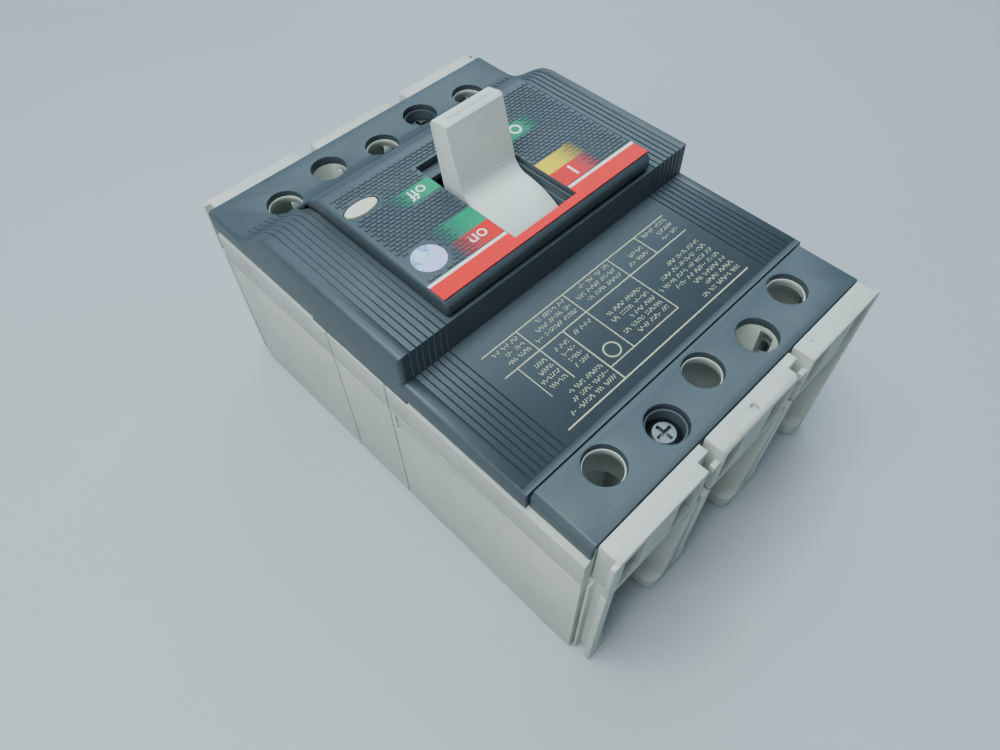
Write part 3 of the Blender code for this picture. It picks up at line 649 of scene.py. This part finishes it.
def makeEscutcheon(white):
    piece = copyNode("escutcheon", "escutcheonPlate")
    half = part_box("escutcheon")[1][0] / mm

    def rim(a, b):
        along = abs(a.x) > half - near and abs(b.x) > half - near and abs(a.x - b.x) < near
        across = abs(a.y - b.y) < level and abs(a.x - b.x) > escutcheon["rimLength"]
        return min(a.z, b.z) > plateTop - escutcheon["rimDepth"] and (along or across)

    roundWhere(piece, rim, escutcheon["cornerRound"])
    roundEdges(piece, escutcheon["edge"], 2)
    smooth(piece, escutcheon["smoothAngle"])
    dress(piece, finishes["dark"], standsFor=("escutcheon",))
    makeWeave()
    makeLiner()
    for name, mark in marks.items():
        ink = spanSlab(name, mark["x"], mark["y"], (plateTop - sunk, plateTop + rise["field"]))
        dress(ink, inks[name])
    makeBand(inkFinish("redInk", {"colour": (0.68, 0.010, 0.010), "rough": 0.38}), white)


def write(name, words, at, finish):
    clearPick()
    height = (plateTop + rise["word"]) * mm
    bpy.ops.object.text_add(location=(at[0] * mm, at[1] * mm, height))
    text = bpy.context.object
    text.data.body = words
    text.data.size = signs["wordSize"] * mm
    text.data.extrude = signs["wordThick"] * mm
    text.data.align_x = "CENTER"
    text.data.align_y = "CENTER"
    bpy.ops.object.convert(target="MESH")
    dress(settle(bpy.context.object, name), finish)


def ring(name, at, outer, inner, top, finish, thick=0.1):
    piece = disc(name, at, outer, top - sunk, top + thick, 40)
    carve(piece, disc("ringCut", at, inner, top - past, top + past, 40))
    dress(piece, finish)


def makeSigns(white):
    # the generic off and on words, ring and stroke, then the sticker and the oval plug
    for name, (words, at) in signs["words"].items():
        write(name, words, at, white)
    at, outer, inner = signs["ring"]
    ring("offRing", at, outer, inner, plateTop + rise["ring"], white)
    stroke = spanSlab("onStroke", *signs["stroke"], (plateTop, plateTop + rise["stroke"]))
    dress(stroke, white)
    at, radius = signs["foil"]
    foil = disc("foilSticker", at, radius, plateTop - sunk, plateTop + rise["foil"], 64)
    roundEdges(foil, signs["foilEdge"], 1)
    dress(foil, foilFinish("foilSticker"))
    plug = copyNode("blanking_plug", "ovalPlug")
    roundEdges(plug, signs["plugEdge"], 3)
    smooth(plug)
    dress(plug, finishes["plug"], standsFor=("blanking_plug",))


whiteInk = inkFinish("whiteInk", {"colour": (0.72, 0.73, 0.70), "rough": 0.40})
makeEscutcheon(whiteInk)
makeSigns(whiteInk)
print("escutcheon made")


# rating table: rule lines, and rows of loose ticks and dashes that say nothing

table = {
    "lines": (
        # Y, X from, X to, width
        (19.5, -34, 34, 0.30), (27.4, -34, 34, 0.30), (42.6, -10.9, 14.5, 0.26), (47.0, -34, 34, 0.34)),
    "bars": (
        # X, Y from, Y to, width
        (-10.9, 19.5, 42.6, 0.26), (6.0, 19.5, 42.6, 0.26), (14.5, 27.4, 47.0, 0.34),
        (22.5, 19.5, 38.5, 0.26), (30.0, 27.4, 38.5, 0.20), (-22.0, 19.5, 27.4, 0.26)),
    "cells": (
        # X from, X to, top row's Y, rows
        (-33.0, -12.5, 44.8, 7), (-9.6, 4.6, 40.4, 5), (7.2, 13.6, 29.8, 1), (15.6, 21.8, 36.6, 4),
        (23.4, 29.2, 36.6, 4), (15.6, 33.0, 44.8, 3), (-9.6, 4.6, 25.2, 3), (7.2, 21.6, 25.2, 3),
        (23.6, 33.4, 25.2, 3), (-33.2, -23.2, 25.2, 3), (-20.8, -12.2, 25.2, 2)),
    "rowPitch": 2.15,
    "rowFill": (0.55, 1.0),     # share of a cell's width that a row takes up
    "tick": (0.17, 1.4),        # width and height
    "tickPitch": 0.74,
    "dash": (0.2, 0.42),        # place in the pitch, and length
    "pairApart": 0.26,          # this and the next are shares of the height
    "shift": 0.2,
    "halves": ((0.1, 0.5), (0.42, 0.4)),    # place in the pitch, and share of the height
    "wordGap": 0.8,
    "wordTicks": (3, 8),
    "sunk": 0.03,
    "thick": (0.030, 0.002, 5),     # least height, step between heights, number of heights
    "ring": ((10.3, 39.4), 2.3),
    "ringLine": 0.35,
    "ringThick": 0.04,
}


def tickParts(at, y):
    # short ticks and dashes standing for print; none is drawn as a letter or a digit
    kind = random.choice(("high", "low", "middle", "pair", "low", "high"))
    width, height = table["tick"]
    place, length = table["dash"]
    if kind == "middle":
        return [(at + place, y, length, width)]
    if kind == "pair":
        apart = height * table["pairApart"]
        return [(at + place, y + apart, length, width), (at + place, y - apart, length, width)]
    lift = height * table["shift"] * (1 if kind == "high" else -1)
    (first, tall), (second, short) = table["halves"]
    return [(at + first, y + lift, width, height * tall), (at + second, y - lift, width, height * short)]


def tableBars():
    # middle X, middle Y, width and height of every line, bar and tick
    bars = []
    for y, start, end, width in table["lines"]:
        bars.append(((start + end) / 2, y, end - start, width))
    for x, start, end, width in table["bars"]:
        bars.append((x, (start + end) / 2, width, end - start))
    for start, end, y, rows in table["cells"]:
        for row in range(rows):
            stop = start + (end - start) * random.uniform(*table["rowFill"])
            x = start
            inWord = random.randint(*table["wordTicks"])
            while x < stop:
                bars += tickParts(x, y - row * table["rowPitch"])
                x += table["tickPitch"]
                inWord -= 1
                if inWord == 0:
                    x += table["wordGap"]
                    inWord = random.randint(*table["wordTicks"])
    return bars


def makeTable():
    random.seed(7)
    gold = inkFinish("goldInk", {"colour": (0.44, 0.43, 0.29), "rough": 0.45})
    bar = slab("bar", (-0.5, -0.5, 0), (0.5, 0.5, 1))
    least, step, heights = table["thick"]
    copies = []
    for number, (x, y, wide, tall) in enumerate(tableBars()):
        one = bar.copy()
        one.data = bar.data.copy()
        thick = least + step * (number % heights)      # one bar differs from the next in the list
        place = Matrix.Translation((x * mm, y * mm, (coverTop - table["sunk"]) * mm))
        one.data.transform(place @ Matrix.Diagonal((wide, tall, table["sunk"] + thick, 1)))
        bpy.context.scene.collection.objects.link(one)
        copies.append(one)
    bpy.data.objects.remove(bar, do_unlink=True)
    dress(merge(copies, "ratingTable"), gold)
    at, radius = table["ring"]
    ring("tableRing", at, radius, radius - table["ringLine"], coverTop, gold, table["ringThick"])


makeTable()
print("table made")


# toggle, end covers and sleeves

toggle = {
    "tilt": 12.5,               # of the blade at rest, towards the load end
    "skirt": 24.4,              # outer radius
    "root": 3.7,                # half the blade's thickness where it meets the skirt
    "half": 9.4,
    "fillet": 5.0,
    "filletInset": 0.02,
    "filletOverlap": 0.1,
    "filletInto": (1.2, 1.9),   # how far the block reaches into the blade and into the skirt
    "rodLength": 30.0,
    "rodSides": 96,
    "edge": 0.6,
    "edgeAngle": 42,
    "smoothAngle": 32,
    "tip": 45.0,
    "tipMark": ((-7.4, 7.4), (-1.5, 1.5)),
    "tipDepth": 0.06,
}


def ontoToggle(piece):
    # from the blade's own axes, Z along it and Y across it, to its place
    pivot = next(j["pos_m"] for j in frame["joints"] if j["name"] == "toggle_hinge")
    turn = Matrix.Rotation(math.radians(toggle["tilt"]), 4, "X")
    piece.data.transform(Matrix.Translation(pivot) @ turn)
    return piece


def rootFillet():
    # a block in the corner between blade and skirt, hollowed by a rod
    radius = toggle["fillet"]
    across = toggle["root"] + radius - toggle["filletOverlap"]
    along = math.sqrt((toggle["skirt"] + radius) ** 2 - across ** 2)
    ends = toggle["half"] - toggle["filletInset"]
    outer = toggle["skirt"] * across / (toggle["skirt"] + radius)
    intoBlade, intoSkirt = toggle["filletInto"]
    low = (-ends, toggle["root"] - intoBlade, toggle["skirt"] - intoSkirt)
    block = slab("fillet", low, (ends, outer, along))
    clearPick()
    bpy.ops.mesh.primitive_cylinder_add(
        vertices=toggle["rodSides"], radius=radius * mm, depth=toggle["rodLength"] * mm,
        location=(0, across * mm, along * mm), rotation=(0, math.radians(90), 0))
    carve(block, settle(bpy.context.object, "filletRod"))
    return ontoToggle(block)


def makeToggle():
    blade = copyNode("toggle", "toggleBlade")
    carve(blade, rootFillet(), "UNION")
    roundEdges(blade, toggle["edge"], 4, toggle["edgeAngle"])
    tip = toggle["tip"]
    carve(blade, ontoToggle(spanSlab("tipCut", *toggle["tipMark"], (tip - toggle["tipDepth"], tip + past))))
    smooth(blade, toggle["smoothAngle"])
    dress(blade, finishes["handle"], "toggle", ("toggle",))


endCover = {
    "edge": 0.3,
    "frontFace": 74.95,
    "frontRound": 1.3,
    "reach": 0.5,               # front edges are this near the top, and longer than this
    "hole": ((0.0, 72.4), 1.0, 1.6, 32),        # middle, radius, depth, sides
    "dimple": ((-25.0, 71.5), 0.45, 0.4, 24),
    "tab": ((14.4, 16.7), (73.2, 74.7), (57.4, 60.0)),   # small tab on the left and middle poles
    "tabEdge": 0.25,
}
dents = {("line", "centre"): endCover["hole"], ("line", "left"): endCover["dimple"]}


def makeEndCovers():
    for end in ("line", "load"):
        for pole in poles:
            name = end + "_end_cover_" + pole
            piece = copyNode(name, end + "Cover" + pole.title())
            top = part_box(name)[1][2] / mm

            def frontEdge(a, b, top=top):
                onFront = min(abs(a.y), abs(b.y)) > endCover["frontFace"]
                onTop = min(a.z, b.z) > top - endCover["reach"]
                return onFront and onTop and abs(a.x - b.x) > endCover["reach"]

            if (end, pole) in dents:
                at, radius, depth, sides = dents[(end, pole)]
                carve(piece, disc("dentCut", at, radius, top - depth, top + past, sides))
            roundWhere(piece, frontEdge, endCover["frontRound"])
            roundEdges(piece, endCover["edge"], 2)
            smooth(piece)
            dress(piece, finishes["light"], standsFor=(name,))
    acrossTab, alongTab, heightTab = endCover["tab"]
    for pole in ("left", "centre"):
        x = poles[pole]
        tab = spanSlab("sideTab" + pole.title(), (x + acrossTab[0], x + acrossTab[1]), alongTab, heightTab)
        roundEdges(tab, endCover["tabEdge"], 2)
        smooth(tab)
        dress(tab, finishes["light"])


sleeve = {
    # outer and inner radius, length, edge
    "terminal": (4.96, 4.62, 1.3, 0.15),     # light tube in each terminal hole
    "screw": (5.1, 4.55, 8.5, 0.12),         # dark tube round each cover screw
    "below": 1.7,                            # how far each starts under the plate
    "cut": 20.0,
    "sides": 64,
}


def makeSleeve(name, at, kind, finish):
    top = coverTop - sleeve["below"]
    outer, inner, length, edge = sleeve[kind]
    tube = disc(name, at, outer, top - length, top, sleeve["sides"])
    carve(tube, disc("sleeveCut", at, inner, top - sleeve["cut"], top + past, sleeve["sides"]))
    roundEdges(tube, edge, 2)
    smooth(tube)
    dress(tube, finish)


def makeSleeves():
    for end, sign in (("line", 1), ("load", -1)):
        for pole, x in poles.items():
            at = (x, sign * screwReach())
            makeSleeve(end + "Sleeve" + pole.title(), at, "terminal", finishes["light"])
    for name in ("cover_screw_line", "cover_screw_load"):
        low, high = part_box(name)
        at = ((low[0] + high[0]) / 2 / mm, (low[1] + high[1]) / 2 / mm)
        makeSleeve("sleeve_" + name, at, "screw", finishes["dark"])


makeToggle()
makeEndCovers()
makeSleeves()
print("toggle and end covers made")


# a finish for every node of the frame

slotFinish = {
    "light_plastic": "light", "dark_plastic": "dark", "handle_plastic": "handle", "fibre": "fibre",
    "steel": "steel", "black_steel": "blackSteel", "copper": "copper", "silver_plate": "silver",
    "red_plastic": "red",
}


def finishTheNodes():
    slots = {part["node"]: part["material_slot"] for part in frame["record"]["subparts"]}
    for name, node in nodes.items():
        node.data.materials.clear()
        node.data.materials.append(finishes[slotFinish[slots[name]]])


finishTheNodes()


# floor, light and camera

studio = {
    "floor": (0.37, 0.39, 0.41),
    "floorSize": 6,
    "floorTop": -0.0004,
    "floorRough": 0.6,
    "horizon": (0.05, 0.06, 0.07),
    "sky": (0.55, 0.74, 0.92),
    "worldStrength": 0.45,
    "aim": (0, 0, 0.03),
    "lights": (
        # name, place, size, power, colour
        ("keyLight", (0.22, -0.06, 0.85), 0.45, 10.5, (0.86, 0.99, 1.0)),
        ("fillLight", (0.80, 0.10, 0.42), 0.5, 2.6, (0.92, 1.0, 0.98)),
        ("sheenLight", (-0.60, -0.42, 0.80), 0.9, 8.5, (0.62, 0.88, 1.0))),
    "lens": 26.825,
    "sensor": 36,
    "clipStart": 0.01,
    "eye": (102.59, 97.64, 205.41),
    "target": (2.826, -7.060, 0.0),
    "roll": -1.402,
}


def makeFloor():
    clearPick()
    bpy.ops.mesh.primitive_plane_add(size=studio["floorSize"], location=(0, 0, studio["floorTop"]))
    floor = bpy.context.object
    floor.name = "floor"
    finish, tree, shader, place = newFinish("floorFinish")
    cloud = noiseOf(tree, place, noiseScale["floor"], 3)
    colour = rampOf(tree, cloud, [(0.3, tone(studio["floor"], 0.97)), (0.7, studio["floor"])])
    tree.links.new(colour, shader.inputs["Base Color"])
    shader.inputs["Roughness"].default_value = studio["floorRough"]
    floor.data.materials.append(finish)


def makeLight():
    # a sky that darkens towards the horizon, and three soft lamps
    world = bpy.data.worlds.new("studio")
    bpy.context.scene.world = world
    world.use_nodes = True
    tree = world.node_tree
    way = tree.nodes.new("ShaderNodeTexCoord")
    parts = tree.nodes.new("ShaderNodeSeparateXYZ")
    tree.links.new(way.outputs["Generated"], parts.inputs["Vector"])
    sky = rampOf(tree, parts.outputs["Z"], [(0.05, studio["horizon"]), (0.75, studio["sky"])])
    tree.links.new(sky, tree.nodes["Background"].inputs["Color"])
    tree.nodes["Background"].inputs["Strength"].default_value = studio["worldStrength"]
    for name, spot, size, power, colour in studio["lights"]:
        light = bpy.data.lights.new(name, "AREA")
        light.size = size
        light.energy = power
        light.color = colour
        lamp = bpy.data.objects.new(name, light)
        bpy.context.scene.collection.objects.link(lamp)
        lamp.location = spot
        towards = Vector(studio["aim"]) - Vector(spot)
        lamp.rotation_euler = towards.to_track_quat("-Z", "Y").to_euler()


def makeCamera():
    eye = Vector(studio["eye"])
    back = (eye - Vector(studio["target"])).normalized()
    across = Vector((0, 0, 1)).cross(back).normalized()
    up = back.cross(across)
    roll = math.radians(studio["roll"])
    right = across * math.cos(roll) + up * math.sin(roll)
    top = up * math.cos(roll) - across * math.sin(roll)
    view = Matrix((right, top, back)).transposed().to_4x4()
    view.translation = eye * mm
    lens = bpy.data.cameras.new("camera")
    lens.lens = studio["lens"]
    lens.sensor_width = studio["sensor"]
    lens.clip_start = studio["clipStart"]
    camera = bpy.data.objects.new("camera", lens)
    bpy.context.scene.collection.objects.link(camera)
    camera.matrix_world = view
    bpy.context.scene.camera = camera


makeFloor()
makeLight()
makeCamera()
print("studio made")
